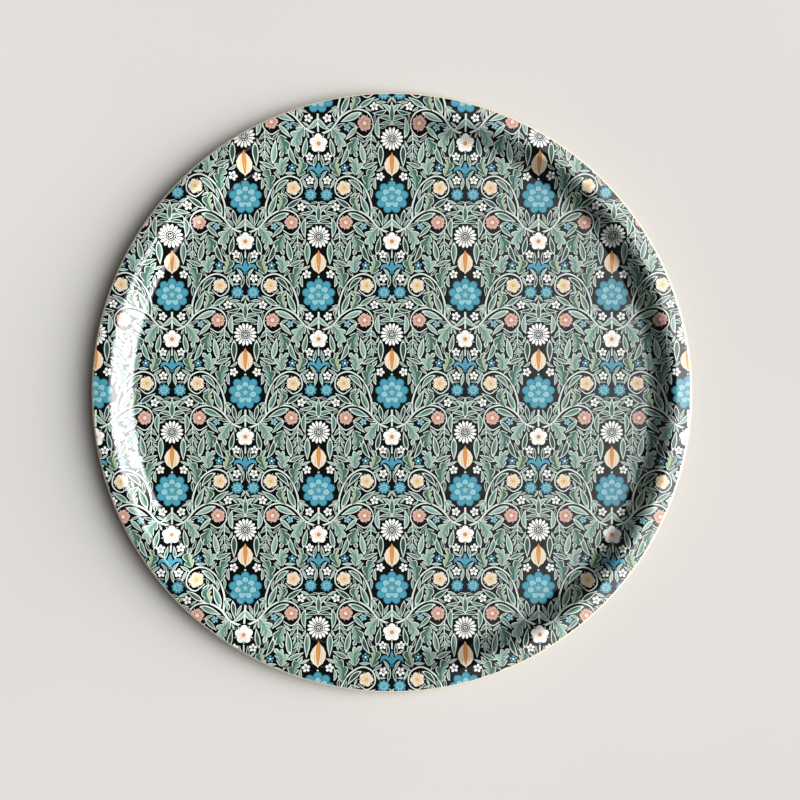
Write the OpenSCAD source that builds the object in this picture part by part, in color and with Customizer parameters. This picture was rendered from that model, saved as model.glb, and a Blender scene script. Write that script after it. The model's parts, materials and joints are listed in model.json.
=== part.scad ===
// Round serving tray, pressed in one piece from crossed birch veneers between a printed decor
// sheet with a clear wear overlay and a plain backing sheet. The rim is trimmed and rounded.
// Origin at the centre of the underside, +Z up. Millimetres.

/* [Tray] */
// Overall diameter over the lip
outer_d = 390; // [386:1:420]
// Overall height, from the table to the crest of the lip
height = 15.5; // [14:0.5:17]
// Radius of the flat floor, on the printed face
floor_r = 168; // [160:0.5:169]

/* [Wall and lip] */
// Bend radius from the floor up into the wall, on the printed face
fillet_r = 6; // [5:0.5:8]
// Slope of the straight part of the wall, in degrees
wall_angle = 48; // [44:1:55]
// Bend radius from the wall over into the lip, on the printed face
crest_r = 7; // [6:0.5:8]
// How far the lip droops below level towards its cut edge, in degrees
lip_droop = 5; // [1:0.5:8]

/* [Sheets] */
// Thickness of the clear melamine wear overlay
overlay_t = 0.1; // [0.05:0.01:0.2]
// Thickness of the printed decor sheet
decor_t = 0.2; // [0.1:0.01:0.3]
// Thickness of each birch veneer
veneer_t = 0.55; // [0.45:0.05:0.65]
// Thickness of the plain sheet on the underside
backing_t = 0.25; // [0.15:0.05:0.4]

/* [Cut edge] */
// Rounding of the cut edge on the printed side, as a share of the whole thickness
round_top = 0.65; // [0.4:0.05:0.65]
// Rounding of the cut edge on the underside, as a share of the whole thickness
round_under = 0.3; // [0.15:0.05:0.35]

/* [Hidden] */
$fn = 128;

VENEERS = 5;
BEND_STEPS = 10;    // straight facets across each bend of the section
TRIM = 5;           // how far the untrimmed sheets run past the cut edge
BEYOND = 500;       // larger than the whole section
RUN_OUT = 0.02;

outer_r = outer_d / 2;
sheet_t = overlay_t + decor_t + VENEERS * veneer_t + backing_t;

// Depth of each sheet's upper face below the printed face
decor_d = overlay_t;
veneer_d = decor_d + decor_t;
backing_d = veneer_d + VENEERS * veneer_t;

// Unit steps up a slope, and square to it on its upper side
function along(slope) = [cos(slope), sin(slope)];
function square_to(slope) = [-sin(slope), cos(slope)];

// The bend at the floor turns about a point above the tray, the bend at the crest about one below
fillet_centre = [floor_r, sheet_t + fillet_r];
wall_foot = fillet_centre - fillet_r * square_to(wall_angle);
crest_z = height - crest_r;
wall_run = (crest_z + crest_r * cos(wall_angle) - wall_foot.y) / sin(wall_angle);
wall_head = wall_foot + wall_run * along(wall_angle);
crest_centre = wall_head - crest_r * square_to(wall_angle);
lip_start = crest_centre + crest_r * square_to(-lip_droop);
lip_run = outer_r + TRIM - lip_start.x;

// The cut edge is rounded about two centres, in depth below the printed face of the lip. Each
// rounding runs out a little past the face that it meets, so that it ends in a crisp line.
top_r = round_top * sheet_t;
under_r = round_under * sheet_t;
top_depth = top_r - RUN_OUT;
under_depth = sheet_t - under_r + RUN_OUT;
top_centre_x = outer_r - top_r;
top_centre = [
    top_centre_x,
    lip_start.y - top_depth / cos(lip_droop) - (top_centre_x - lip_start.x) * tan(lip_droop)
];

// Points of the section at a depth below the printed face, from the axis to past the cut edge
function face_line(depth) = concat(
    [[0, sheet_t - depth]],
    [for (step = [0:BEND_STEPS])
        fillet_centre - (fillet_r + depth) * square_to(wall_angle * step / BEND_STEPS)],
    [for (step = [0:BEND_STEPS])
        crest_centre + (crest_r - depth)
            * square_to(wall_angle - (wall_angle + lip_droop) * step / BEND_STEPS)],
    [lip_start - depth * square_to(-lip_droop) + lip_run * along(-lip_droop)]
);

function reversed(points) = [for (i = [len(points) - 1:-1:0]) points[i]];

// What is left after the rim is trimmed square to the lip and both its corners are rounded
module trimmed_section() {
    under_centre = [top_r - under_r, top_depth - under_depth];
    translate(top_centre) rotate(-lip_droop) {
        translate([-BEYOND, -BEYOND / 2]) square([BEYOND, BEYOND]);
        translate([-top_r, under_centre.y]) square([2 * top_r, -under_centre.y]);
        translate([-top_r, under_centre.y - under_r]) square([top_r + under_centre.x, top_r]);
        circle(r = top_r);
        translate(under_centre) circle(r = under_r);
    }
}

// One pressed sheet, turned about the tray's axis
module pressed_sheet(depth, thickness) {
    rotate_extrude() intersection() {
        polygon(concat(face_line(depth), reversed(face_line(depth + thickness))));
        trimmed_section();
    }
}

// The veneers are counted down from the printed side; their grain turns a quarter each time
module veneer(index) { pressed_sheet(veneer_d + index * veneer_t, veneer_t); }

module wear_overlay() { color("white", 0.25) pressed_sheet(0, overlay_t); }

module decor_sheet() { color("darkseagreen") pressed_sheet(decor_d, decor_t); }

module veneer_face() { color("wheat") veneer(0); }

module veneer_cross_upper() { color("burlywood") veneer(1); }

module veneer_core() { color("wheat") veneer(2); }

module veneer_cross_lower() { color("burlywood") veneer(3); }

module veneer_back() { color("wheat") veneer(4); }

module backing_sheet() { color("tan") pressed_sheet(backing_d, backing_t); }

wear_overlay();
decor_sheet();
veneer_face();
veneer_cross_upper();
veneer_core();
veneer_cross_lower();
veneer_back();
backing_sheet();
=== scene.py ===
import json
import math
import random

import bpy
import numpy as np
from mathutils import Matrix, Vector
from mathutils.geometry import delaunay_2d_cdt


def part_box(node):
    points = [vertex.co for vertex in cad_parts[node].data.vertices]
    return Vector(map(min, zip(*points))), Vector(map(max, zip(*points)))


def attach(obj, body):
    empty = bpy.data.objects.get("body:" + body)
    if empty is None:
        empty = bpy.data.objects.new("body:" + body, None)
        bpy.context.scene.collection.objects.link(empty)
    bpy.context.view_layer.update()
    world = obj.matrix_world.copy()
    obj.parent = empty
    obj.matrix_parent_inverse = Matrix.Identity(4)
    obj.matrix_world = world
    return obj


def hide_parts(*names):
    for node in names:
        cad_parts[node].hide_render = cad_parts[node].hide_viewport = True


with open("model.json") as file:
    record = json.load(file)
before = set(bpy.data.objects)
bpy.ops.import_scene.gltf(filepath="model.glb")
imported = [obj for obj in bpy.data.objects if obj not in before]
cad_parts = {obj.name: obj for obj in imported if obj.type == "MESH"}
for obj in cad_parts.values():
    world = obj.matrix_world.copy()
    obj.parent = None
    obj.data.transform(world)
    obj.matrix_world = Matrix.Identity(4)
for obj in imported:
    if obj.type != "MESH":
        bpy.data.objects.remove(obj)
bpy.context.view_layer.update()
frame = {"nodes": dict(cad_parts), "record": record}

# The printed sheet is drawn in millimetres and built in metres, like everything else here.
MM = 0.001

# ---------------------------------------- the tray's section
# The section's bends, as the CAD model has them. The rest of its sizes come from the frame.
FLOOR_R = 168.0
FILLET_R = 6.0
WALL_ANGLE = math.radians(48)
CREST_R = 7.0
LIP_DROOP = math.radians(5)
ROUND_TOP = 0.65        # rounding of the cut edge, as a share of the whole thickness
RUN_OUT = 0.02          # how far that rounding runs past the printed face
DECOR_T = 0.2

floor_z = frame["record"]["mounts"][1]["pos_m"][2] / MM
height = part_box("wear_overlay")[1].z / MM
outer_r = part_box("veneer_core")[1].x / MM
overlay_cut_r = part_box("wear_overlay")[1].x / MM
decor_cut_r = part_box("decor_sheet")[1].x / MM
overlay_t = floor_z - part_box("wear_overlay")[0].z / MM
sheet_t = floor_z


def upward(slope):
    """Unit step square to a slope of the section, on its upper side."""
    return np.array([-math.sin(slope), math.cos(slope)])


fillet_centre = np.array([FLOOR_R, floor_z + FILLET_R])
wall_foot = fillet_centre - FILLET_R * upward(WALL_ANGLE)
crest_z = height - CREST_R
wall_run = (crest_z + CREST_R * math.cos(WALL_ANGLE) - wall_foot[1]) / math.sin(WALL_ANGLE)
wall_head = wall_foot + wall_run * np.array([math.cos(WALL_ANGLE), math.sin(WALL_ANGLE)])
crest_centre = wall_head - CREST_R * upward(WALL_ANGLE)
lip_start = crest_centre + CREST_R * upward(-LIP_DROOP)
edge_r = ROUND_TOP * sheet_t
edge_centre_r = outer_r - edge_r
edge_centre = np.array([
    edge_centre_r,
    lip_start[1] - (edge_r - RUN_OUT) / math.cos(LIP_DROOP)
    - (edge_centre_r - lip_start[0]) * math.tan(LIP_DROOP),
])
round_start_r = edge_centre_r + math.sin(math.acos((edge_r - RUN_OUT) / edge_r) + LIP_DROOP) * edge_r


def printed_face(r):
    """Height and upward slope of the tray's upper face at each distance from its axis."""
    r = np.asarray(r, float)
    in_fillet = (r - FLOOR_R) / FILLET_R
    in_crest = (crest_centre[0] - r) / CREST_R
    in_edge = (edge_centre[0] - r) / edge_r
    zones = [r < FLOOR_R, r < wall_foot[0], r < wall_head[0], r < lip_start[0], r < round_start_r]
    flat = np.zeros_like(r)
    height_at = np.select(zones, [
        flat + floor_z,
        fillet_centre[1] - FILLET_R * np.sqrt(np.clip(1 - in_fillet**2, 0, 1)),
        wall_foot[1] + (r - wall_foot[0]) * math.tan(WALL_ANGLE),
        crest_centre[1] + CREST_R * np.sqrt(np.clip(1 - in_crest**2, 0, 1)),
        lip_start[1] - (r - lip_start[0]) * math.tan(LIP_DROOP),
    ], edge_centre[1] + edge_r * np.sqrt(np.clip(1 - in_edge**2, 0, 1)))
    slope = np.select(zones, [
        flat,
        np.arcsin(np.clip(in_fillet, -1, 1)),
        flat + WALL_ANGLE,
        np.arcsin(np.clip(in_crest, -1, 1)),
        flat - LIP_DROOP,
    ], np.arcsin(np.clip(in_edge, -1, 1)))
    return height_at, slope


# ---------------------------------------- the printed pattern
# The pattern repeats every PERIOD_X and PERIOD_Y, and each repeat is mirrored about its two
# upright axes, x = 0 and x = HALF, so only the half between them is drawn.
PERIOD_X = 96.0
PERIOD_Y = 128.0
HALF = PERIOD_X / 2

INKS = {
    "ground": "#060808",
    "deep_green": "#305046",
    "mid_green": "#486c5e",
    "green": "#76968a",
    "soft_green": "#97b3a6",
    "pale_green": "#d3ded6",
    "olive": "#9eb18c",
    "teal": "#2c7180",
    "sky": "#4b98ae",
    "pale_blue": "#8bbfc8",
    "white": "#f4f7f1",
    "cream": "#e6d8bf",
    "orange": "#cd8b4c",
    "yellow": "#d3ac55",
    "pink": "#d9a898",
    "maroon": "#6b2c2e",
    "paper": "#e9dcc0",
}
INK_NAMES = list(INKS)
GROUND = INK_NAMES.index("ground")
PAPER = INK_NAMES.index("paper")


def heading(degrees):
    """Unit step in a direction, counted from +x towards +y."""
    turn = math.radians(degrees)
    return np.array([math.cos(turn), math.sin(turn)])


def through(points, steps=4):
    """A smooth line through given points, with some steps from each to the next."""
    p = np.array(points, float)
    p = np.vstack([2 * p[0] - p[1], p, 2 * p[-1] - p[-2]])
    t = np.linspace(0, 1, steps, endpoint=False)[:, None]
    line = []
    for a, b, c, d in zip(p[:-3], p[1:-2], p[2:-1], p[3:]):
        cubic = 3 * b - a - 3 * c + d
        square = 2 * a - 5 * b + 4 * c - d
        line.append(0.5 * (2 * b + (c - a) * t + square * t**2 + cubic * t**3))
    line.append(p[-2:-1])
    return np.vstack(line)


def bowed(base, tip, bend, steps):
    """A gently bowed line from base to tip; bend is its rise as a share of its length."""
    base = np.array(base, float)
    tip = np.array(tip, float)
    t = np.linspace(0, 1, steps + 1)[:, None]
    along = tip - base
    side = np.array([-along[1], along[0]])
    return base + along * t + side * bend * 4 * t * (1 - t)


def evenly(line, steps):
    """The same line as steps + 1 evenly spaced points."""
    gaps = np.linalg.norm(np.diff(line, axis=0), axis=1)
    lengths = np.concatenate([[0], np.cumsum(gaps)])
    at = np.linspace(0, lengths[-1], steps + 1)
    return np.column_stack([np.interp(at, lengths, line[:, k]) for k in range(2)])


def sides(line):
    """Unit vectors square to a line, to its left."""
    along = np.gradient(line, axis=0)
    along /= np.linalg.norm(along, axis=1)[:, None]
    return np.column_stack([-along[:, 1], along[:, 0]])


def band(line, half_widths):
    """Outline of a band about a line. A half width of nothing at an end makes a point there."""
    half = np.broadcast_to(np.asarray(half_widths, float), len(line))[:, None]
    across = sides(line) * half
    left = line + across
    right = (line - across)[::-1]
    if half[0, 0] == 0:
        right = right[:-1]
    if half[-1, 0] == 0:
        right = right[1:]
    return np.vstack([left, right])


def ellipse(centre, rx, ry=None, turn=0, points=10):
    """An oval with one radius along a heading and the other across it, or a circle."""
    ry = rx if ry is None else ry
    a = np.arange(points) * 2 * math.pi / points
    along = heading(turn)
    side = np.array([-along[1], along[0]])
    return np.array(centre) + rx * np.cos(a)[:, None] * along + ry * np.sin(a)[:, None] * side


def placed(shapes, at, turn=0):
    """Shapes turned, then moved."""
    along = heading(turn)
    spin = np.array([along, [-along[1], along[0]]])
    return [(ink, outline @ spin + np.array(at)) for ink, outline in shapes]


# Leaves and stems

LEAF_SHAPE = 0.8        # under 1 moves a leaf's widest part towards its base
LEAF_EDGE = 0.15        # the pale edge's width, as a share of the leaf's
EDGE_INK = "pale_green"     # of stems and stalks too
VEIN_INK = "deep_green"
VEIN = 0.15             # half the width of a side vein where it starts
MIDRIB = 0.22           # the same for the vein up the middle of a lobed leaf
SHADED_WIDTH = 2.2      # leaves no wider than this are drawn in one tone
SHADES = {"soft_green": "green", "green": "mid_green", "olive": "mid_green"}


def leaf_widths(t, width):
    """Half the width of a leaf at each share t of its length."""
    return 0.5 * width * np.sin(math.pi * t**LEAF_SHAPE)


def leaf(base, tip, width, bend, body="green", steps=6):
    """A willow leaf: a pale edge and a body, darker along one side of its middle."""
    spine = bowed(base, tip, bend, steps)
    half = leaf_widths(np.linspace(0, 1, steps + 1), width)
    half[0] = half[-1] = 0
    ends = bowed(spine[0] * 0.86 + spine[-1] * 0.14, spine[0] * 0.1 + spine[-1] * 0.9, bend, steps)
    middle = np.vstack([ends[:1], spine[1:-1], ends[-1:]])
    inner = np.concatenate([[0], np.maximum(half[1:-1] - LEAF_EDGE * width, 0.02), [0]])
    shapes = [(EDGE_INK, band(spine, half)), (body, band(middle, inner))]
    if width > SHADED_WIDTH and body in SHADES:
        dark_side = middle - sides(middle) * inner[:, None]
        shapes.append((SHADES[body], np.vstack([middle, dark_side[-2:0:-1]])))
    return shapes


def stem(points, start_width, end_width):
    """A line through some points that grows thinner along its way."""
    line = through(points)
    return [(EDGE_INK, band(line, np.linspace(start_width / 2, end_width / 2, len(line))))]


def spray(points, length, width, pairs):
    """A stem with willow leaves in pairs, smaller towards its end, and one leaf at the end."""
    steps = 24
    spread = math.radians(42)
    line = through(points, 6)
    shapes = stem(points, 0.75, 0.35)
    even = evenly(line, steps)
    square = sides(even)
    for pair in range(pairs):
        share = 0.12 + 0.8 * pair / max(pairs - 1, 1)
        k = int(share * steps)
        ahead = np.array([square[k][1], -square[k][0]])
        size = 1.05 - 0.3 * share
        for sign in (1, -1):
            way = ahead * math.cos(spread) + sign * square[k] * math.sin(spread)
            tip = even[k] + way * length * size
            shapes += leaf(even[k], tip, width * size, -0.1 * sign, steps=5)
    ahead = line[-1] - line[-2]
    ahead /= np.linalg.norm(ahead)
    shapes += leaf(line[-1], line[-1] + ahead * length * 0.8, width * 0.8, 0.05, steps=5)
    return shapes


def lobed_leaf(points, width, lobes, body="soft_green"):
    """A broad leaf with round lobes down both sides, and a vein into each lobe."""
    per_lobe = 6
    steps = lobes * per_lobe
    line = evenly(through(points, 8), steps)
    t = np.linspace(0, 1, steps + 1)
    swell = np.sin(math.pi * np.clip(t * 0.92 + 0.08, 0, 1)**0.75)
    lobe = np.abs(np.sin(math.pi * lobes * t))
    half = 0.5 * width * swell * (0.42 + 0.62 * lobe)
    half[0] = 0.06 * width
    half[-1] = 0
    inner = np.maximum(half - 0.07 * width, 0.03)
    square = sides(line)
    ahead = np.column_stack([square[:, 1], -square[:, 0]])
    lean = (0.2 * width * lobe * swell)[:, None]

    def edge(half_widths, sign):
        return line + sign * square * half_widths[:, None] + ahead * lean

    def outline(half_widths):
        return np.vstack([edge(half_widths, 1), edge(half_widths, -1)[-2::-1]])

    shapes = [
        (EDGE_INK, outline(half)),
        (body, outline(inner)[1:-1]),
        (SHADES[body], np.vstack([line[1:-1], edge(inner, -1)[-2:0:-1]])),
        (VEIN_INK, band(line[:-2], np.linspace(MIDRIB, 0, len(line) - 2))),
    ]
    for k in range(lobes):
        i = int((k + 0.5) * per_lobe)
        root = line[max(i - per_lobe // 2, 0)]
        for sign in (1, -1):
            tip = line[i] + sign * square[i] * half[i] * 0.78 + ahead[i] * lean[i] * 1.2
            side = ahead[i] * VEIN
            shapes.append((VEIN_INK, np.array([root - side, root + side, tip])))
    return shapes


# Flowers

PETAL_SHAPE = 0.9       # under 1 moves a petal's widest part towards its base


def petal(base, tip, width, ink, line_ink, bend=0.0):
    """A pointed petal with a fine line up its middle."""
    steps = 5
    spine = bowed(base, tip, bend, steps)
    t = np.linspace(0, 1, steps + 1)
    half = np.maximum(0.5 * width * np.sin(math.pi * t**PETAL_SHAPE), 0.04 * width)
    half[-1] = 0
    side = sides(spine)[1] * 0.2
    return [(ink, band(spine, half)), (line_ink, np.array([spine[1] + side, spine[-2], spine[1] - side]))]


def rosette(centre, radius, ink="white", heart="ground", turn=0):
    """A small open flower of round petals about a dark heart."""
    petals = 5
    reach = radius * 0.62
    across = reach * math.sin(math.pi / petals) * 0.9
    shapes = []
    for k in range(petals):
        angle = turn + 360 * k / petals
        at = np.array(centre) + heading(angle) * reach
        shapes.append((ink, ellipse(at, radius * 0.38, across, angle, 7)))
    shapes.append((heart, ellipse(centre, radius * 0.27, points=7)))
    shapes.append(("white", ellipse(centre, radius * 0.13, points=5)))
    return shapes


def daisy(radius):
    """A large daisy: narrow petals, a ring, and a heart of dots."""
    petals = 16
    shapes = [("ground", ellipse((0, 0), radius * 1.05, points=24))]
    for k in range(petals):
        way = heading(360 * (k + 0.5) / petals)
        spine = bowed(way * radius * 0.5, way * radius, 0, 4)
        shapes.append(("white", band(spine, np.array([0.06, 0.1, 0.12, 0.1, 0]) * radius)))
    shapes.append(("white", ellipse((0, 0), radius * 0.47, points=24)))
    shapes.append(("ground", ellipse((0, 0), radius * 0.41, points=20)))
    for reach, dots in ((0, 1), (0.13, 6), (0.29, 13)):
        for k in range(dots):
            at = heading(360 * (k + 0.5) / dots + 90) * radius * reach
            shapes.append(("white", ellipse(at, radius * 0.05, points=5)))
    return shapes


def berries(centre, radius):
    """A ring of round blue berries about a white one."""
    shapes = [("white", ellipse(centre, radius * 0.36, points=7))]
    for k in range(5):
        at = np.array(centre) + heading(72 * k + 18) * radius * 0.85
        shapes.append(("sky", ellipse(at, radius * 0.4, points=7)))
    return shapes


def round_flower(radius):
    """A full round blossom: three rings of scalloped blue petals."""
    shapes = [("ground", ellipse((0, 0), radius * 1.08, radius * 1.04, 0, 18))]
    rings = ((9, 0.68, 0.33, "sky"), (7, 0.44, 0.27, "pale_blue"), (5, 0.2, 0.18, "sky"))
    for count, reach, size, ink in rings:
        for k in range(count):
            angle = 360 * k / count + 90
            at = heading(angle) * radius * reach
            shapes.append(("teal", ellipse(at, radius * size, radius * size * 0.86, angle, 9)))
            shapes.append((ink, ellipse(at, radius * size * 0.84, radius * size * 0.7, angle, 9)))
    shapes.append(("soft_green", ellipse((0, 0), radius * 0.14, points=8)))
    return shapes


def fleur(size):
    """Three pointed blue petals that rise from a knot, the outer two curling over."""
    shapes = petal((0, 0), (0, size), size * 0.36, "sky", "teal")
    for side in (-1, 1):
        spine = through([(0, size * 0.05), (side * size * 0.35, size * 0.5),
                         (side * size * 0.72, size * 0.48), (side * size * 0.86, size * 0.16)], 3)
        half = size * 0.13 * np.sin(math.pi * np.linspace(0.08, 1, len(spine)))
        half[-1] = 0
        shapes.append(("sky", band(spine, half)))
    shapes.append(("teal", ellipse((0, 0), size * 0.17, size * 0.12, 0, 7)))
    return shapes


def wild_rose(radius, ink="cream", line_ink="orange", heart="yellow"):
    """An open rose: five broad petals with fine lines, sepals between them and a ring of stamens."""
    shapes = [("ground", ellipse((0, 0), radius * 1.1, points=18))]
    for k in range(5):
        angle = 72 * k + 90
        shapes += leaf((0, 0), heading(angle + 36) * radius * 1.06, radius * 0.3, 0, steps=4)
    for k in range(5):
        angle = 72 * k + 90
        at = heading(angle) * radius * 0.56
        shapes.append((ink, ellipse(at, radius * 0.4, radius * 0.39, angle, 10)))
        for turn in (-22, 0, 22):
            near = heading(angle + turn) * radius * 0.34
            far = heading(angle + turn * 0.8) * radius * 0.78
            side = heading(angle + turn + 90) * radius * 0.035
            shapes.append((line_ink, np.array([near - side, far, near + side])))
    shapes.append((heart, ellipse((0, 0), radius * 0.24, points=10)))
    for k in range(8):
        shapes.append((line_ink, ellipse(heading(45 * k) * radius * 0.32, radius * 0.05, points=4)))
    return shapes


def bud(length, width):
    """A closed bud: two cream petals about an orange one, with sepals at its foot."""
    shapes = [("ground", ellipse((0, length * 0.45), length * 0.6, width * 0.62, 90, 16))]
    for side in (-1, 1):
        shapes += leaf((0, -1), (side * width * 0.62, length * 0.5), width * 0.3, side * 0.22, steps=5)
    shapes += petal((0, length * 0.1), (0, length), width * 0.5, "orange", "yellow")
    for side in (-1, 1):
        tip = (side * width * 0.12, length * 0.86)
        shapes += petal((side * 0.2, 0), tip, width * 0.44, "cream", "orange", -side * 0.2)
    return shapes


# The half repeat. Everything is drawn once in the lower half of the repeat and once more in the
# upper half, moved over by half the repeat's width: a half drop.

DROP = PERIOD_Y / 2


def on_axis():
    """What stands on a mirror axis, symmetric about x = 0, with the large blossom at the origin."""
    shapes = stem([(0, 10), (0, 14)], 1.3, 1.1)
    shapes += stem([(0, -10), (0, -24), (0, -40)], 1.3, 0.9)
    for side in (-1, 1):
        shapes += leaf((0, 52.5), (side * 6.6, 58.6), 3.2, side * 0.16, "soft_green")
        shapes += leaf((0, 48.5), (side * 8.6, 50.4), 3.0, side * 0.16, "green")
        shapes += leaf((0, -14), (side * 7.4, -20.6), 3.2, -side * 0.14, "soft_green")
    shapes += leaf((0, 46.5), (0, 61), 3.6, 0, "green")
    shapes += round_flower(11)
    shapes += placed(bud(15, 8.6), (0, 14.4))
    shapes += placed(daisy(7.6), (0, 38))
    shapes += placed(wild_rose(6.2, "white", "pink", "orange"), (0, -29))
    shapes += placed(fleur(8.6), (0, -49.6))
    return shapes


def beside_axis():
    """What lies between two axes: curling stems with their flowers, lobed leaves and sprays."""
    shapes = stem([(0, -24), (8.6, -20.4), (15.6, -12.6), (24.6, -8.4), (33, -11), (35.8, -18.6),
                   (30.6, -24.6), (24.8, -21.8)], 1.3, 0.6)
    shapes += stem([(13.4, -15), (13.6, -4.6), (18.6, 7.4), (27.6, 13.6), (35.6, 11), (37, 3.4),
                    (31.6, -0.8), (26.2, 3.2)], 1.2, 0.6)
    shapes += lobed_leaf([(9, -20), (14.4, -27), (13, -35)], 8.6, 4)
    shapes += lobed_leaf([(24.8, -25), (22.4, -31.4), (25.4, -38)], 8.0, 4, "green")
    shapes += lobed_leaf([(16, 4), (15.6, 13), (9.6, 21)], 7.4, 4, "green")
    shapes += lobed_leaf([(24, 14.4), (23.4, 20.6), (28.4, 26)], 8.6, 4)
    shapes += lobed_leaf([(35, 13.6), (37.4, 20.6), (35.4, 26.6)], 7.0, 3, "olive")
    shapes += lobed_leaf([(22, -9.4), (24.6, -2.6), (21, 3)], 6.4, 3, "olive")
    shapes += spray([(34.6, -22), (34.2, -29), (34.8, -36)], 6.2, 2.5, 3)
    shapes += spray([(13.6, -6), (9.8, -11.4), (10.6, -14)], 4.4, 2.0, 1)
    shapes += placed(wild_rose(4.8, "pink", "maroon", "cream"), (30.2, -16.6), 12)
    shapes += placed(wild_rose(5.0), (31.4, 6.0), -20)
    shapes += placed(round_flower(4.0), (42.8, 1.6))
    shapes += rosette((42, 26.4), 2.8, turn=20)
    shapes += rosette((18.8, -19.2), 2.4, "pale_blue", "teal")
    shapes += berries((30.8, 19.2), 2.0)
    return shapes


# Small leaves and flowers that fill what is left. They are placed on a fine grid over the half
# repeat, each time where there is most room.

PITCH = 0.25            # the width of a cell
COLUMNS = round(HALF / PITCH)
ROWS = round(PERIOD_Y / PITCH)
REACH = 5.0             # the largest clearance that is measured
STALK_REACH = 3.0       # how far from its leaf a stalk looks for something to start from
GAP = 0.55              # ground left between a filling leaf and its neighbours


def inside(outline, x, y):
    """Which of some points lie inside an outline."""
    hit = np.zeros(np.broadcast(x, y).shape, bool)
    for (x0, y0), (x1, y1) in zip(outline, np.roll(outline, -1, axis=0)):
        if y0 != y1:
            hit ^= ((y0 > y) != (y1 > y)) & (x < x0 + (y - y0) * (x1 - x0) / (y1 - y0))
    return hit


def stamp(taken, outline):
    """Marks the cells of the grid whose middles lie inside an outline."""
    low = np.floor(outline.min(axis=0) / PITCH).astype(int)
    high = np.ceil(outline.max(axis=0) / PITCH).astype(int)
    cols = np.arange(max(low[0], 0), min(high[0], COLUMNS))
    rows = np.arange(low[1], high[1] + 1)
    if len(cols):
        x = (cols + 0.5)[None, :] * PITCH
        y = (rows + 0.5)[:, None] * PITCH
        taken[rows[:, None] % ROWS, cols[None, :]] |= inside(outline, x, y)


def clearance(taken, first_row, last_row, first_col, last_col):
    """Distance from each cell of a window to the nearest taken cell or upright axis."""
    pad = int(REACH / PITCH)
    left = max(first_col - pad, 0)
    rows = np.arange(first_row - pad, last_row + pad)
    cols = np.arange(left, min(last_col + pad, COLUMNS))
    window = taken[rows[:, None] % ROWS, cols[None, :]]
    to_axis = np.minimum(cols + 1, COLUMNS - cols)[None, :]
    across = np.minimum(np.where(window, 0, pad + 1), to_axis).astype(float)
    for step in range(1, pad + 1):
        across[:, step:] = np.minimum(across[:, step:], np.where(window[:, :-step], step, pad + 1))
        across[:, :-step] = np.minimum(across[:, :-step], np.where(window[:, step:], step, pad + 1))
    best = across**2
    for step in range(1, pad + 1):
        best[step:] = np.minimum(best[step:], across[:-step]**2 + step**2)
        best[:-step] = np.minimum(best[:-step], across[step:]**2 + step**2)
    best = np.sqrt(best) * PITCH
    return best[pad:len(rows) - pad, first_col - left:last_col - left]


def room_at(free, points):
    """The clearance at each of an array of points."""
    cols = np.floor(points[..., 0] / PITCH).astype(int)
    rows = np.floor(points[..., 1] / PITCH).astype(int) % ROWS
    within = (cols >= 0) & (cols < COLUMNS)
    return np.where(within, free[rows, np.clip(cols, 0, COLUMNS - 1)], 0)


def refresh(taken, free, centre, radius):
    """Measures the clearance again around something newly placed."""
    row = int(centre[1] / PITCH)
    col = int(centre[0] / PITCH)
    half = int((radius + REACH) / PITCH) + 2
    left = max(col - half, 0)
    right = min(col + half + 1, COLUMNS)
    rows = np.arange(row - half, row + half + 1) % ROWS
    window = clearance(taken, row - half, row + half + 1, left, right)
    free[rows[:, None], np.arange(left, right)[None, :]] = window


def nearest_taken(taken, point):
    """The middle of the nearest taken cell, or None if there is none within STALK_REACH."""
    n = int(STALK_REACH / PITCH)
    rows = int(point[1] // PITCH) + np.arange(-n, n + 1)
    cols = int(point[0] // PITCH) + np.arange(-n, n + 1)
    cols = cols[(cols >= 0) & (cols < COLUMNS)]
    r, c = np.nonzero(taken[rows[:, None] % ROWS, cols[None, :]])
    if len(r) == 0:
        return None
    cells = np.column_stack([cols[c] + 0.5, rows[r] + 0.5]) * PITCH
    return cells[np.argmin(np.hypot(*(cells - point).T))]


FLOWER_SPOTS = 7        # the most small flowers that are tried
FLOWER_RADII = (1.8, 2.9)       # the least and the most
FILL_SIZES = (15, 13, 11.2, 9.6, 8.2, 7.0, 6.0, 5.1, 4.4)   # the lengths of the filling leaves
FILL_WAYS = np.arange(0, 180, 11.25)    # the headings that are tried, in degrees
FILL_BENDS = (0.1, -0.1, 0)
FILL_SHIFTS = (0, 0.12, -0.12)  # along the leaf, as a share of its length
FILL_BODIES = ("green", "green", "soft_green", "soft_green", "deep_green")
SAMPLES = np.linspace(0, 1, 9)  # where along a leaf its room is measured
STALK = 0.2             # half the width of a filling leaf's stalk
SEED = 7                # of the flowers' turns and the leaves' inks


def widest(free):
    """The row, column and middle of the cell with the most room."""
    row, col = np.unravel_index(np.argmax(free), free.shape)
    return row, col, np.array([col + 0.5, row + 0.5]) * PITCH


def filling_flowers(taken, free, draw):
    """Small flowers in the widest gaps."""
    least, most = FLOWER_RADII
    flowers = []
    for _ in range(FLOWER_SPOTS):
        row, col, centre = widest(free)
        radius = min(free[row, col] - GAP, most)
        if radius < least:
            break
        flowers += rosette(centre, radius, turn=draw.uniform(0, 72))
        stamp(taken, ellipse(centre, radius, points=12))
        refresh(taken, free, centre, radius)
    return flowers


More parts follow.
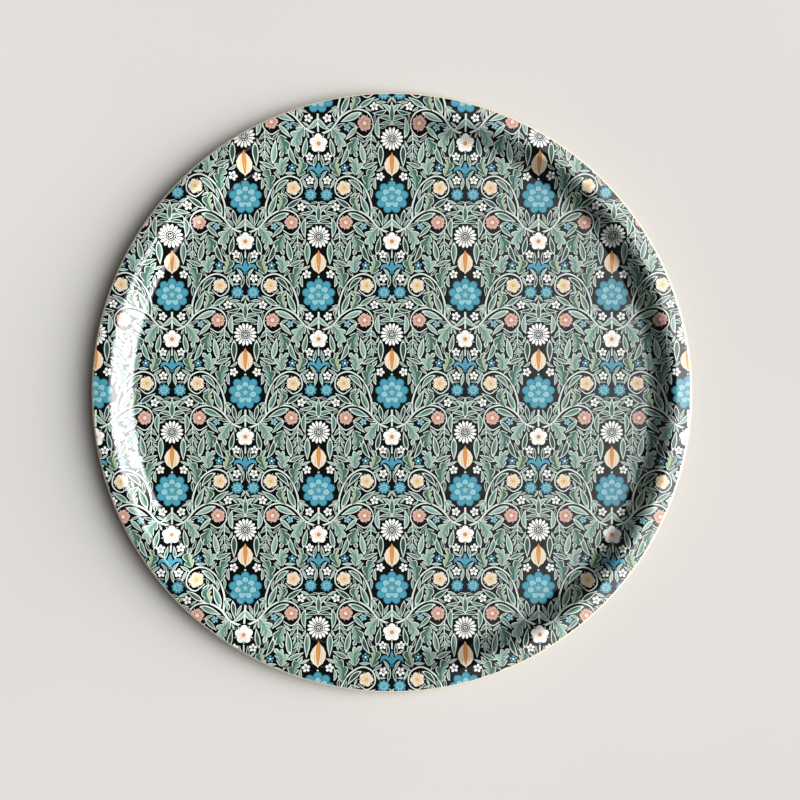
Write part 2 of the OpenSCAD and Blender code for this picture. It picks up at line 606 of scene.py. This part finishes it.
def filling_leaves(taken, free, draw, size):
    """Leaves of one length wherever one fits, and the stalks that tie them to what is nearest."""
    width = size * (0.27 if size > 6 else 0.31)
    steps = 7 if size > 9 else 6 if size > 6 else 4
    trials = [(shift, way, bend) for shift in FILL_SHIFTS for way in FILL_WAYS for bend in FILL_BENDS]
    spines = np.array([
        bowed(heading(way) * size * (-0.5 - shift), heading(way) * size * (0.5 - shift), bend,
              len(SAMPLES) - 1)
        for shift, way, bend in trials
    ])
    needed = leaf_widths(SAMPLES, width) + GAP * np.sin(math.pi * np.clip(SAMPLES, 0.12, 0.88))
    hopeless = np.zeros_like(taken)
    leaves = []
    stalks = []
    while True:
        row, col, centre = widest(np.where(hopeless, 0, free))
        if hopeless[row, col] or free[row, col] < width / 2 + GAP:
            return leaves, stalks
        margins = (room_at(free, spines + centre) - needed).min(axis=1)
        best = int(np.argmax(margins))
        if margins[best] <= 0:
            beside = np.arange(max(col - 1, 0), min(col + 2, COLUMNS))
            hopeless[np.arange(row - 1, row + 2)[:, None] % ROWS, beside[None, :]] = True
            continue
        base = spines[best][0] + centre
        tip = spines[best][-1] + centre
        bend = trials[best][2]
        room_base, room_tip = room_at(free, np.array([base, tip]))
        if room_tip < room_base:
            base, tip, bend = tip, base, -bend
        shapes = leaf(base, tip, width, bend, draw.choice(FILL_BODIES), steps)
        leaves += shapes
        anchor = nearest_taken(taken, base)
        if anchor is not None:
            stalk = bowed(base * 0.85 + tip * 0.15, anchor, 0.1, 2)
            stalks.append((EDGE_INK, band(stalk, STALK)))
        stamp(taken, shapes[0][1])
        refresh(taken, free, centre, size / 2)


def filling(fixed):
    """Flowers in the widest gaps, then leaves in all that is left, from large to small."""
    draw = random.Random(SEED)
    taken = np.zeros((ROWS, COLUMNS), bool)
    for ink, outline in fixed:
        for copy in (outline, outline * [-1, 1], outline * [-1, 1] + [PERIOD_X, 0]):
            if copy[:, 0].max() > 0 and copy[:, 0].min() < HALF:
                stamp(taken, copy)
    free = clearance(taken, 0, ROWS, 0, COLUMNS)
    flowers = filling_flowers(taken, free, draw)
    leaves = []
    stalks = []
    for size in FILL_SIZES:
        more_leaves, more_stalks = filling_leaves(taken, free, draw, size)
        leaves += more_leaves
        stalks += more_stalks
    return stalks + leaves + flowers


def half_repeat():
    """Every shape of the half repeat, in painting order, with the copies that reach into it."""
    once = beside_axis() + on_axis()
    dropped = [(ink, outline * [-1, 1] + [HALF, DROP]) for ink, outline in once]
    fixed = once + dropped
    painted = []
    for ink, outline in filling(fixed) + fixed:
        middle = 0.5 * (outline[:, 1].min() + outline[:, 1].max())
        low = outline - [0, PERIOD_Y * math.floor(middle / PERIOD_Y)]
        for copy in (low, low * [-1, 1], low * [-1, 1] + [PERIOD_X, 0]):
            for shift in (-PERIOD_Y, 0, PERIOD_Y):
                moved = copy + [0, shift]
                reaches_x = moved[:, 0].max() > 0 and moved[:, 0].min() < HALF
                reaches_y = moved[:, 1].max() > 0 and moved[:, 1].min() < PERIOD_Y
                if reaches_x and reaches_y:
                    painted.append((INK_NAMES.index(ink), moved))
    return painted


# ---------------------------------------- the pattern as flat patches

MERGE = 1e-5            # points of the triangulation closer than this are one
SIMPLER = 0.1           # how far an ink's edge may move when points are taken out of it


def ink_at(points, painted):
    """The ink at each point of the half repeat. Where shapes overlap, the last one shows."""
    order = np.argsort(points[:, 1])
    x, y = points[order].T
    ink = np.full(len(points), GROUND)
    for number, outline in painted:
        (x0, y0), (x1, y1) = outline.min(axis=0), outline.max(axis=0)
        first, last = np.searchsorted(y, (y0, y1))
        near = first + np.nonzero((x[first:last] > x0) & (x[first:last] < x1))[0]
        ink[near[inside(outline, x[near], y[near])]] = number
    result = np.empty_like(ink)
    result[order] = ink
    return result


def triangulate(points, edges):
    """Triangles that keep some edges whole. It may add points where the edges cross."""
    found = delaunay_2d_cdt([Vector(p) for p in points.tolist()], edges.tolist(), [], 0, MERGE, False)
    return np.array([tuple(p) for p in found[0]]), np.array(found[2])


def ink_edges(painted):
    """The lines of the half repeat where two inks meet, as points and pairs of their indices."""
    corners = np.array([(0, 0), (HALF, 0), (HALF, PERIOD_Y), (0, PERIOD_Y)], float)
    outlines = [corners] + [outline for ink, outline in painted]
    edges = []
    start = 0
    for outline in outlines:
        index = start + np.arange(len(outline))
        edges.append(np.column_stack([index, np.roll(index, -1)]))
        start += len(outline)
    points, triangles = triangulate(np.vstack(outlines), np.vstack(edges))
    middles = points[triangles].mean(axis=1)
    ink = ink_at(middles, painted)
    drawn = np.all((middles > 0) & (middles < (HALF, PERIOD_Y)), axis=1)
    triangles = triangles[drawn]
    ink = ink[drawn]
    pairs = np.sort(np.vstack([triangles[:, [k, (k + 1) % 3]] for k in range(3)]), axis=1)
    ink = np.tile(ink, 3)
    order = np.lexsort((pairs[:, 1], pairs[:, 0]))
    pairs = pairs[order]
    ink = ink[order]
    shared = np.nonzero(np.all(pairs[1:] == pairs[:-1], axis=1) & (ink[1:] != ink[:-1]))[0]
    return points, pairs[shared]


def chains_of(edges):
    """Edges joined into lines that end where three or more meet, or at the border."""
    beside = {}
    for a, b in edges.tolist():
        beside.setdefault(a, []).append(b)
        beside.setdefault(b, []).append(a)
    ends = [v for v, others in beside.items() if len(others) != 2]
    chains = []

    def walk(start, stops):
        chain = [start, beside[start][0]]
        while True:
            here = chain[-1]
            beside[chain[-2]].remove(here)
            beside[here].remove(chain[-2])
            if here in stops or not beside[here]:
                return chain
            chain.append(beside[here][0])

    all_ends = set(ends)
    for v in ends:
        while beside[v]:
            chains.append(walk(v, all_ends))
    for v in list(beside):
        if beside[v]:
            chains.append(walk(v, {v}))
    return chains


def simplified(points, chain):
    """The chain with only the points it needs to stay within SIMPLER of its shape."""
    keep = {0, len(chain) - 1}
    line = points[chain]
    todo = [(0, len(chain) - 1)]
    if chain[0] == chain[-1]:
        far = int(np.argmax(np.linalg.norm(line - line[0], axis=1)))
        keep.add(far)
        todo = [(0, far), (far, len(chain) - 1)]
    while todo:
        a, b = todo.pop()
        if b - a < 2:
            continue
        along = line[b] - line[a]
        away = line[a + 1:b] - line[a]
        off = np.abs(along[0] * away[:, 1] - along[1] * away[:, 0]) / max(np.hypot(*along), MERGE)
        worst = int(np.argmax(off))
        if off[worst] > SIMPLER:
            keep.add(a + 1 + worst)
            todo += [(a, a + 1 + worst), (a + 1 + worst, b)]
    return [chain[k] for k in sorted(keep)]


def folded(points):
    """Points of the tray carried back into the half repeat."""
    x = np.abs((points[:, 0] + HALF) % PERIOD_X - HALF)
    return np.column_stack([x, points[:, 1] % PERIOD_Y])


# ---------------------------------------- the printed sheet

N_AROUND = 288          # points around the tray
FILLET_STEPS = 7
CREST_STEPS = 8
FLOOR_RINGS = [40, 90, 130]     # radii of the rings of points under the floor
PRINT_T = DECOR_T + overlay_t
COLUMNS_OUT = math.ceil((overlay_cut_r - HALF) / PERIOD_X)
ROWS_OUT = math.ceil(overlay_cut_r / PERIOD_Y)


def ring(radius):
    """The points of one ring about the tray's axis."""
    turn = np.arange(N_AROUND) * 2 * math.pi / N_AROUND
    return radius * np.column_stack([np.cos(turn), np.sin(turn)])


def clipped(start, end, radius):
    """Segments cut off at the polygon of N_AROUND points with a radius."""
    r0 = np.hypot(*start.T)
    r1 = np.hypot(*end.T)
    swap = r0 > r1
    a = np.where(swap[:, None], end, start)
    b = np.where(swap[:, None], start, end)
    sector = 2 * math.pi / N_AROUND
    reach = radius * math.cos(sector / 2)

    def beyond(points):
        turn = (np.floor(np.arctan2(points[:, 1], points[:, 0]) / sector) + 0.5) * sector
        return np.column_stack([np.cos(turn), np.sin(turn)])

    kept = np.sum(a * beyond(a), axis=1) < reach - MERGE
    a = a[kept]
    b = b[kept]
    for _ in range(2):      # the second time for ends that the first left in another sector
        out = beyond(b)
        share = (reach - np.sum(a * out, axis=1)) / np.sum((b - a) * out, axis=1)
        crossing = (np.sum(b * out, axis=1) > reach) & (share > 0) & (share < 1)
        b = np.where(crossing[:, None], a + (b - a) * share[:, None], b)
    return a, b


def tiled_edges(points, edges):
    """Every ink edge on the tray, from the edges of the half repeat."""
    starts = []
    ends = []
    for column in range(-COLUMNS_OUT, COLUMNS_OUT + 1):
        for row in range(-ROWS_OUT, ROWS_OUT):
            for side in (-1, 1):
                place = points * [side, 1] + [column * PERIOD_X, row * PERIOD_Y]
                a, b = clipped(place[edges[:, 0]], place[edges[:, 1]], overlay_cut_r)
                starts.append(a)
                ends.append(b)
    both = np.round(np.vstack(starts + ends), 6)
    unique, index = np.unique(both, axis=0, return_inverse=True)
    index = index.reshape(2, -1).T
    return unique, index[index[:, 0] != index[:, 1]]


def section_radii():
    """Where the printed face bends: the radii of the rings of points across the wall and lip."""
    fillet = np.linspace(FLOOR_R, wall_foot[0], FILLET_STEPS, endpoint=False)
    crest = np.linspace(wall_head[0], lip_start[0], CREST_STEPS, endpoint=False)
    return [*fillet, wall_foot[0], *crest, lip_start[0], round_start_r, overlay_cut_r]


def on_section(points, radii, depth):
    """Flat points lifted onto the tray's section, and the unit normals of the section there."""
    height_at, slope = printed_face(radii)
    outward = points / np.maximum(np.hypot(*points.T), MERGE)[:, None]
    lean = np.sin(slope)[:, None]
    normals = np.column_stack([-lean * outward, np.cos(slope)])
    return np.column_stack([points, height_at]) - depth * normals, normals


def flat_print():
    """The printed sheet's upper side laid flat: points, triangles and the ink of each triangle."""
    painted = half_repeat()
    points, edges = ink_edges(painted)
    chains = [simplified(points, chain) for chain in chains_of(edges)]
    edges = np.array([pair for chain in chains for pair in zip(chain, chain[1:])])
    points, edges = tiled_edges(points, edges)
    for radius in section_radii() + [decor_cut_r]:
        index = len(points) + np.arange(N_AROUND)
        points = np.vstack([points, ring(radius)])
        edges = np.vstack([edges, np.column_stack([index, np.roll(index, -1)])])
    flat, triangles = triangulate(points, edges)
    middles = flat[triangles].mean(axis=1)
    ink = ink_at(folded(middles), painted)
    ink[np.hypot(*middles.T) > overlay_cut_r * math.cos(math.pi / N_AROUND)] = PAPER
    return flat, triangles, ink


def rim_points(flat):
    """The indices of the outermost points, in order about the tray."""
    rim = np.nonzero(np.hypot(*flat.T) > decor_cut_r - 10 * MERGE)[0]
    rim = rim[np.argsort(np.round(np.arctan2(flat[rim, 1], flat[rim, 0]), 6) % round(2 * math.pi, 6))]
    assert len(rim) == N_AROUND
    return rim


def printed_mesh():
    """The printed sheet as a closed mesh: its patterned upper face, and a plain under side."""
    flat, triangles, ink = flat_print()
    upper, upper_normals = on_section(flat, np.hypot(*flat.T), 0)
    under_radii = FLOOR_RINGS + [r for r in section_radii() if r <= lip_start[0]]
    rings = [on_section(ring(r), np.full(N_AROUND, r), PRINT_T) for r in under_radii]
    middle = on_section(np.zeros((1, 2)), np.zeros(1), PRINT_T)
    vertices = np.vstack([upper] + [r[0] for r in rings] + [middle[0]])
    normals = np.vstack([upper_normals] + [r[1] for r in rings] + [middle[1]])
    ring_index = [len(upper) + k * N_AROUND + np.arange(N_AROUND) for k in range(len(rings))]
    ring_index.append(rim_points(flat))
    under = []
    for inner, outer in zip(ring_index, ring_index[1:]):
        under.append(np.column_stack([inner, np.roll(inner, -1), np.roll(outer, -1), outer]))
    under = np.vstack(under)
    hub = ring_index[0]
    fan = np.column_stack([np.full(N_AROUND, len(vertices) - 1), np.roll(hub, -1), hub])
    faces = triangles.tolist() + under.tolist() + fan.tolist()
    face_ink = np.concatenate([ink, np.full(len(under) + len(fan), PAPER)])

    mesh = bpy.data.meshes.new("printed_face")
    mesh.from_pydata((vertices * MM).tolist(), [], faces)
    for name in INK_NAMES:
        mesh.materials.append(ink_material(name))
    mesh.polygons.foreach_set("material_index", face_ink.astype(np.int32))
    mesh.polygons.foreach_set("use_smooth", np.ones(len(faces), bool))
    corner = np.empty(len(mesh.loops), np.int32)
    mesh.loops.foreach_get("vertex_index", corner)
    corner_normals = normals[corner]
    corner_normals[3 * len(triangles):] *= -1
    mesh.normals_split_custom_set(corner_normals.tolist())
    return mesh


# ---------------------------------------- materials

class Nodes:
    """A short way to build the nodes of a material, about its Principled shader, or of the world."""

    def __init__(self, owner):
        owner.use_nodes = True
        self.tree = owner.node_tree
        self.shader = self.tree.nodes.get("Principled BSDF")

    def add(self, kind, **settings):
        node = self.tree.nodes.new("ShaderNode" + kind)
        for name, value in settings.items():
            setattr(node, name, value)
        return node

    def link(self, source, target):
        self.tree.links.new(source, target)

    def place(self, scale=(1, 1, 1)):
        """Object coordinates, stretched."""
        coordinates = self.add("TexCoord")
        mapping = self.add("Mapping")
        mapping.inputs["Scale"].default_value = scale
        self.link(coordinates.outputs["Object"], mapping.inputs["Vector"])
        return mapping.outputs["Vector"]

    def noise(self, vector, scale, detail, roughness=0.5, distortion=0.0):
        """Noise with a number of cells per metre."""
        node = self.add("TexNoise")
        node.inputs["Scale"].default_value = scale
        node.inputs["Detail"].default_value = detail
        node.inputs["Roughness"].default_value = roughness
        node.inputs["Distortion"].default_value = distortion
        self.link(vector, node.inputs["Vector"])
        return node.outputs["Fac"]

    def between(self, value, low, high, from_low=0.3, from_high=0.7):
        """A value carried from one range to another, and held inside it."""
        node = self.add("MapRange")
        node.inputs["From Min"].default_value = from_low
        node.inputs["From Max"].default_value = from_high
        node.inputs["To Min"].default_value = low
        node.inputs["To Max"].default_value = high
        self.link(value, node.inputs["Value"])
        return node.outputs["Result"]

    def maths(self, operation, *values):
        """The result of a calculation with numbers or sockets."""
        node = self.add("Math", operation=operation)
        for socket, value in zip(node.inputs, values):
            if isinstance(value, (int, float)):
                socket.default_value = value
            else:
                self.link(value, socket)
        return node.outputs["Value"]

    def mix(self, share, a, b):
        """A colour between two, each given as a hex colour or a socket."""
        node = self.add("Mix", data_type="RGBA")
        self.link(share, node.inputs["Factor"])
        for name, value in (("A", a), ("B", b)):
            socket = next(s for s in node.inputs if s.name == name and s.type == "RGBA")
            if isinstance(value, str):
                socket.default_value = linear(value)
            else:
                self.link(value, socket)
        return next(s for s in node.outputs if s.type == "RGBA")

    def bump(self, height, strength, distance):
        """The normal of a surface raised by a socket's value, by up to a distance in metres."""
        node = self.add("Bump")
        node.inputs["Strength"].default_value = strength
        node.inputs["Distance"].default_value = distance
        self.link(height, node.inputs["Height"])
        return node.outputs["Normal"]


def linear(colour):
    """A hex colour as linear RGBA."""
    values = [int(colour[k:k + 2], 16) / 255 for k in (1, 3, 5)]
    return [v / 12.92 if v <= 0.04045 else ((v + 0.055) / 1.055)**2.4 for v in values] + [1.0]


PAPER_WHITE = 0.72      # the share of light that the whitest paper under the film gives back
RIPPLE_SCALE = 160      # ripples of the gloss per metre
RIPPLE_HEIGHT = 0.0003
FIBRE_SHARE = 0.12      # how much of the paper's fibres shows in the ripples


def ink_material(name):
    """One ink under the clear overlay: matt paper below, a smooth and slightly rippled gloss above."""
    material = bpy.data.materials.new("ink_" + name)
    nodes = Nodes(material)
    shader = nodes.shader
    red, green, blue, alpha = linear(INKS[name])
    base = [PAPER_WHITE * red, PAPER_WHITE * green, PAPER_WHITE * blue, alpha]
    shader.inputs["Base Color"].default_value = base
    shader.inputs["Specular IOR Level"].default_value = 0.0
    shader.inputs["Coat Weight"].default_value = 1.0
    shader.inputs["Coat Roughness"].default_value = 0.09
    shader.inputs["Coat IOR"].default_value = 1.6
    place = nodes.place()
    fibres = nodes.noise(place, 900, 4, 0.6)
    handling = nodes.noise(place, 22, 3, 0.6)
    rough = nodes.maths("ADD", nodes.between(fibres, -0.05, 0.05), nodes.between(handling, 0.36, 0.5))
    nodes.link(rough, shader.inputs["Roughness"])
    ripple = nodes.noise(place, RIPPLE_SCALE, 2, 0.4)
    ripple = nodes.maths("ADD", ripple, nodes.maths("MULTIPLY", fibres, FIBRE_SHARE))
    normal = nodes.bump(ripple, 0.25, RIPPLE_HEIGHT)
    nodes.link(normal, shader.inputs["Normal"])
    nodes.link(normal, shader.inputs["Coat Normal"])
    return material


LONG_GRAIN = (1, 0, 0)
CROSS_GRAIN = (0, 1, 0)
ALONG_GRAIN = 0.06      # how far the noise is drawn out along the grain


def birch_material(name, grain):
    """A birch veneer seen at the cut edge: pale along the grain, darker and porous across it."""
    material = bpy.data.materials.new(name)
    nodes = Nodes(material)
    shader = nodes.shader
    stretch = [ALONG_GRAIN if along else 1.0 for along in grain]
    place = nodes.place(stretch)
    fibre = nodes.noise(place, 1400, 5, 0.6)
    figure = nodes.noise(place, 90, 3, 0.55, 0.6)
    facing = nodes.add("VectorMath", operation="DOT_PRODUCT")
    geometry = nodes.add("NewGeometry")
    nodes.link(geometry.outputs["Normal"], facing.inputs[0])
    facing.inputs[1].default_value = grain
    end_grain = nodes.between(nodes.maths("ABSOLUTE", facing.outputs["Value"]), 0, 1, 0.45, 0.95)
    long_colour = nodes.mix(nodes.between(figure, 0, 1), "#c6bba6", "#bcad93")
    end_colour = nodes.mix(nodes.between(figure, 0, 1), "#b5a487", "#a38f6e")
    colour = nodes.mix(end_grain, long_colour, end_colour)
    pores = nodes.between(fibre, 0.35, 0, 0.3, 0.48)
    colour = nodes.mix(pores, colour, "#80684a")
    nodes.link(colour, shader.inputs["Base Color"])
    nodes.link(nodes.between(fibre, 0.62, 0.45), shader.inputs["Roughness"])
    nodes.link(nodes.bump(fibre, 0.5, 0.00008), shader.inputs["Normal"])
    shader.inputs["Coat Weight"].default_value = 0.35
    shader.inputs["Coat Roughness"].default_value = 0.3
    return material


def backing_material():
    """The underside: a birch face veneer under a satin lacquer, with fine grain along X."""
    material = bpy.data.materials.new("birch_backing")
    nodes = Nodes(material)
    shader = nodes.shader
    along = nodes.place((0.05, 1, 1))
    fibre = nodes.noise(along, 700, 5, 0.65)
    figure = nodes.noise(nodes.place((0.12, 1, 1)), 34, 4, 0.55, 1.4)
    flame = nodes.noise(nodes.place((1, 0.35, 1)), 60, 2, 0.5)
    colour = nodes.mix(nodes.between(figure, 0, 1), "#e4cda4", "#cfae7d")
    colour = nodes.mix(nodes.between(flame, 0, 0.25), colour, "#efdcb8")
    colour = nodes.mix(nodes.between(fibre, 0.4, 0, 0.32, 0.5), colour, "#a47d50")
    nodes.link(colour, shader.inputs["Base Color"])
    nodes.link(nodes.between(fibre, 0.5, 0.36), shader.inputs["Roughness"])
    nodes.link(nodes.bump(fibre, 0.35, 0.0001), shader.inputs["Normal"])
    shader.inputs["Coat Weight"].default_value = 0.5
    shader.inputs["Coat Roughness"].default_value = 0.22
    return material


def floor_material():
    """The studio's floor: matt, pale and very slightly uneven in its tone."""
    material = bpy.data.materials.new("studio_floor")
    nodes = Nodes(material)
    nodes.shader.inputs["Roughness"].default_value = 0.85
    grain = nodes.noise(nodes.place(), 3, 2)
    nodes.link(nodes.mix(nodes.between(grain, 0, 1), "#b1afab", "#b5b3af"),
               nodes.shader.inputs["Base Color"])
    return material


# ---------------------------------------- the pieces

def add_object(name, data):
    made = bpy.data.objects.new(name, data)
    bpy.context.scene.collection.objects.link(made)
    return made


printed_face_piece = add_object("printed_face", printed_mesh())
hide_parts("wear_overlay", "decor_sheet")
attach(printed_face_piece, "root")

finishes = {
    LONG_GRAIN: birch_material("birch_long_grain", LONG_GRAIN),
    CROSS_GRAIN: birch_material("birch_cross_grain", CROSS_GRAIN),
}
for node, grain in (
    ("veneer_face", LONG_GRAIN),
    ("veneer_cross_upper", CROSS_GRAIN),
    ("veneer_core", LONG_GRAIN),
    ("veneer_cross_lower", CROSS_GRAIN),
    ("veneer_back", LONG_GRAIN),
):
    frame["nodes"][node].material_slots[0].material = finishes[grain]
frame["nodes"]["backing_sheet"].material_slots[0].material = backing_material()

# ---------------------------------------- the studio

HALF_FLOOR = 15.0
FLOOR_DROP = 0.0002     # keeps the studio's floor clear of the tray's underside

floor_mesh = bpy.data.meshes.new("studio_floor")
floor_corners = [(x * HALF_FLOOR, y * HALF_FLOOR, 0) for x, y in ((-1, -1), (1, -1), (1, 1), (-1, 1))]
floor_mesh.from_pydata(floor_corners, [], [(0, 1, 2, 3)])
floor_mesh.materials.append(floor_material())
studio_floor = add_object("studio_floor", floor_mesh)
studio_floor.location.z = -FLOOR_DROP

# The light is one broad soft window to the right, from the table's level nearly up to overhead.
# It is part of the world, and each pair gives the angle from straight up towards the right, in
# degrees, and the light that comes from there.
WINDOW = ((0, 0.0), (8, 1.3), (19, 4.0), (30, 8.4), (45, 12.6), (60, 13.2), (90, 12.4), (96, 0.0))
WINDOW_HALF_WIDTH = 0.36    # sideways, as a share of the distance
WINDOW_BLUR = 0.24          # how wide its soft sides are, in the same share
ROOM_LIGHT = 0.05           # what comes from everywhere else
BACKDROP = "#e9e9e6"        # what the camera sees beyond the floor


def window_light(nodes):
    """The light that comes from each direction: the window's, which fades out sideways."""
    direction = nodes.add("SeparateXYZ")
    nodes.link(nodes.add("TexCoord").outputs["Generated"], direction.inputs[0])
    x, y, z = direction.outputs
    tilt = nodes.maths("DIVIDE", nodes.maths("ARCTAN2", x, z), math.pi)
    upright = nodes.add("ValToRGB")
    elements = upright.color_ramp.elements
    brightest = max(light for angle, light in WINDOW)
    while len(elements) < len(WINDOW):
        elements.new(1.0)
    for element, (angle, light) in zip(elements, WINDOW):
        element.position = angle / 180
        element.color = [light / brightest] * 3 + [1.0]
    nodes.link(tilt, upright.inputs["Fac"])
    squares = nodes.maths("ADD", nodes.maths("MULTIPLY", x, x), nodes.maths("MULTIPLY", z, z))
    distance = nodes.maths("MAXIMUM", nodes.maths("SQRT", squares), 0.001)
    edge = nodes.add("MapRange", interpolation_type="SMOOTHSTEP")
    edge.inputs["From Min"].default_value = WINDOW_HALF_WIDTH + WINDOW_BLUR / 2
    edge.inputs["From Max"].default_value = WINDOW_HALF_WIDTH - WINDOW_BLUR / 2
    nodes.link(nodes.maths("DIVIDE", nodes.maths("ABSOLUTE", y), distance), edge.inputs["Value"])
    light = nodes.maths("MULTIPLY", upright.outputs["Color"], brightest)
    return nodes.maths("MULTIPLY", light, edge.outputs["Result"])


world = bpy.data.worlds.new("studio")
bpy.context.scene.world = world
around = Nodes(world)
room = around.tree.nodes["Background"]
room.inputs["Color"].default_value = (1.0, 1.0, 1.0, 1.0)
around.link(around.maths("ADD", window_light(around), ROOM_LIGHT), room.inputs["Strength"])
backdrop = around.add("Background")
backdrop.inputs["Color"].default_value = linear(BACKDROP)
seen = around.add("MixShader")
around.link(around.add("LightPath").outputs["Is Camera Ray"], seen.inputs["Fac"])
around.link(room.outputs[0], seen.inputs[1])
around.link(backdrop.outputs[0], seen.inputs[2])
around.link(seen.outputs[0], around.tree.nodes["World Output"].inputs["Surface"])
bpy.context.scene.view_settings.view_transform = "Standard"

# ---------------------------------------- the camera, straight above

CAMERA_HEIGHT = 1.15        # above the tray's rim
VIEW_WIDTH = 0.5184         # what the picture takes in at the rim
VIEW_CENTRE = (0.0053, -0.0049)

camera = add_object("camera", bpy.data.cameras.new("camera"))
camera.location = (*VIEW_CENTRE, CAMERA_HEIGHT + height * MM)
camera.data.lens = camera.data.sensor_width * CAMERA_HEIGHT / VIEW_WIDTH
bpy.context.scene.camera = camera
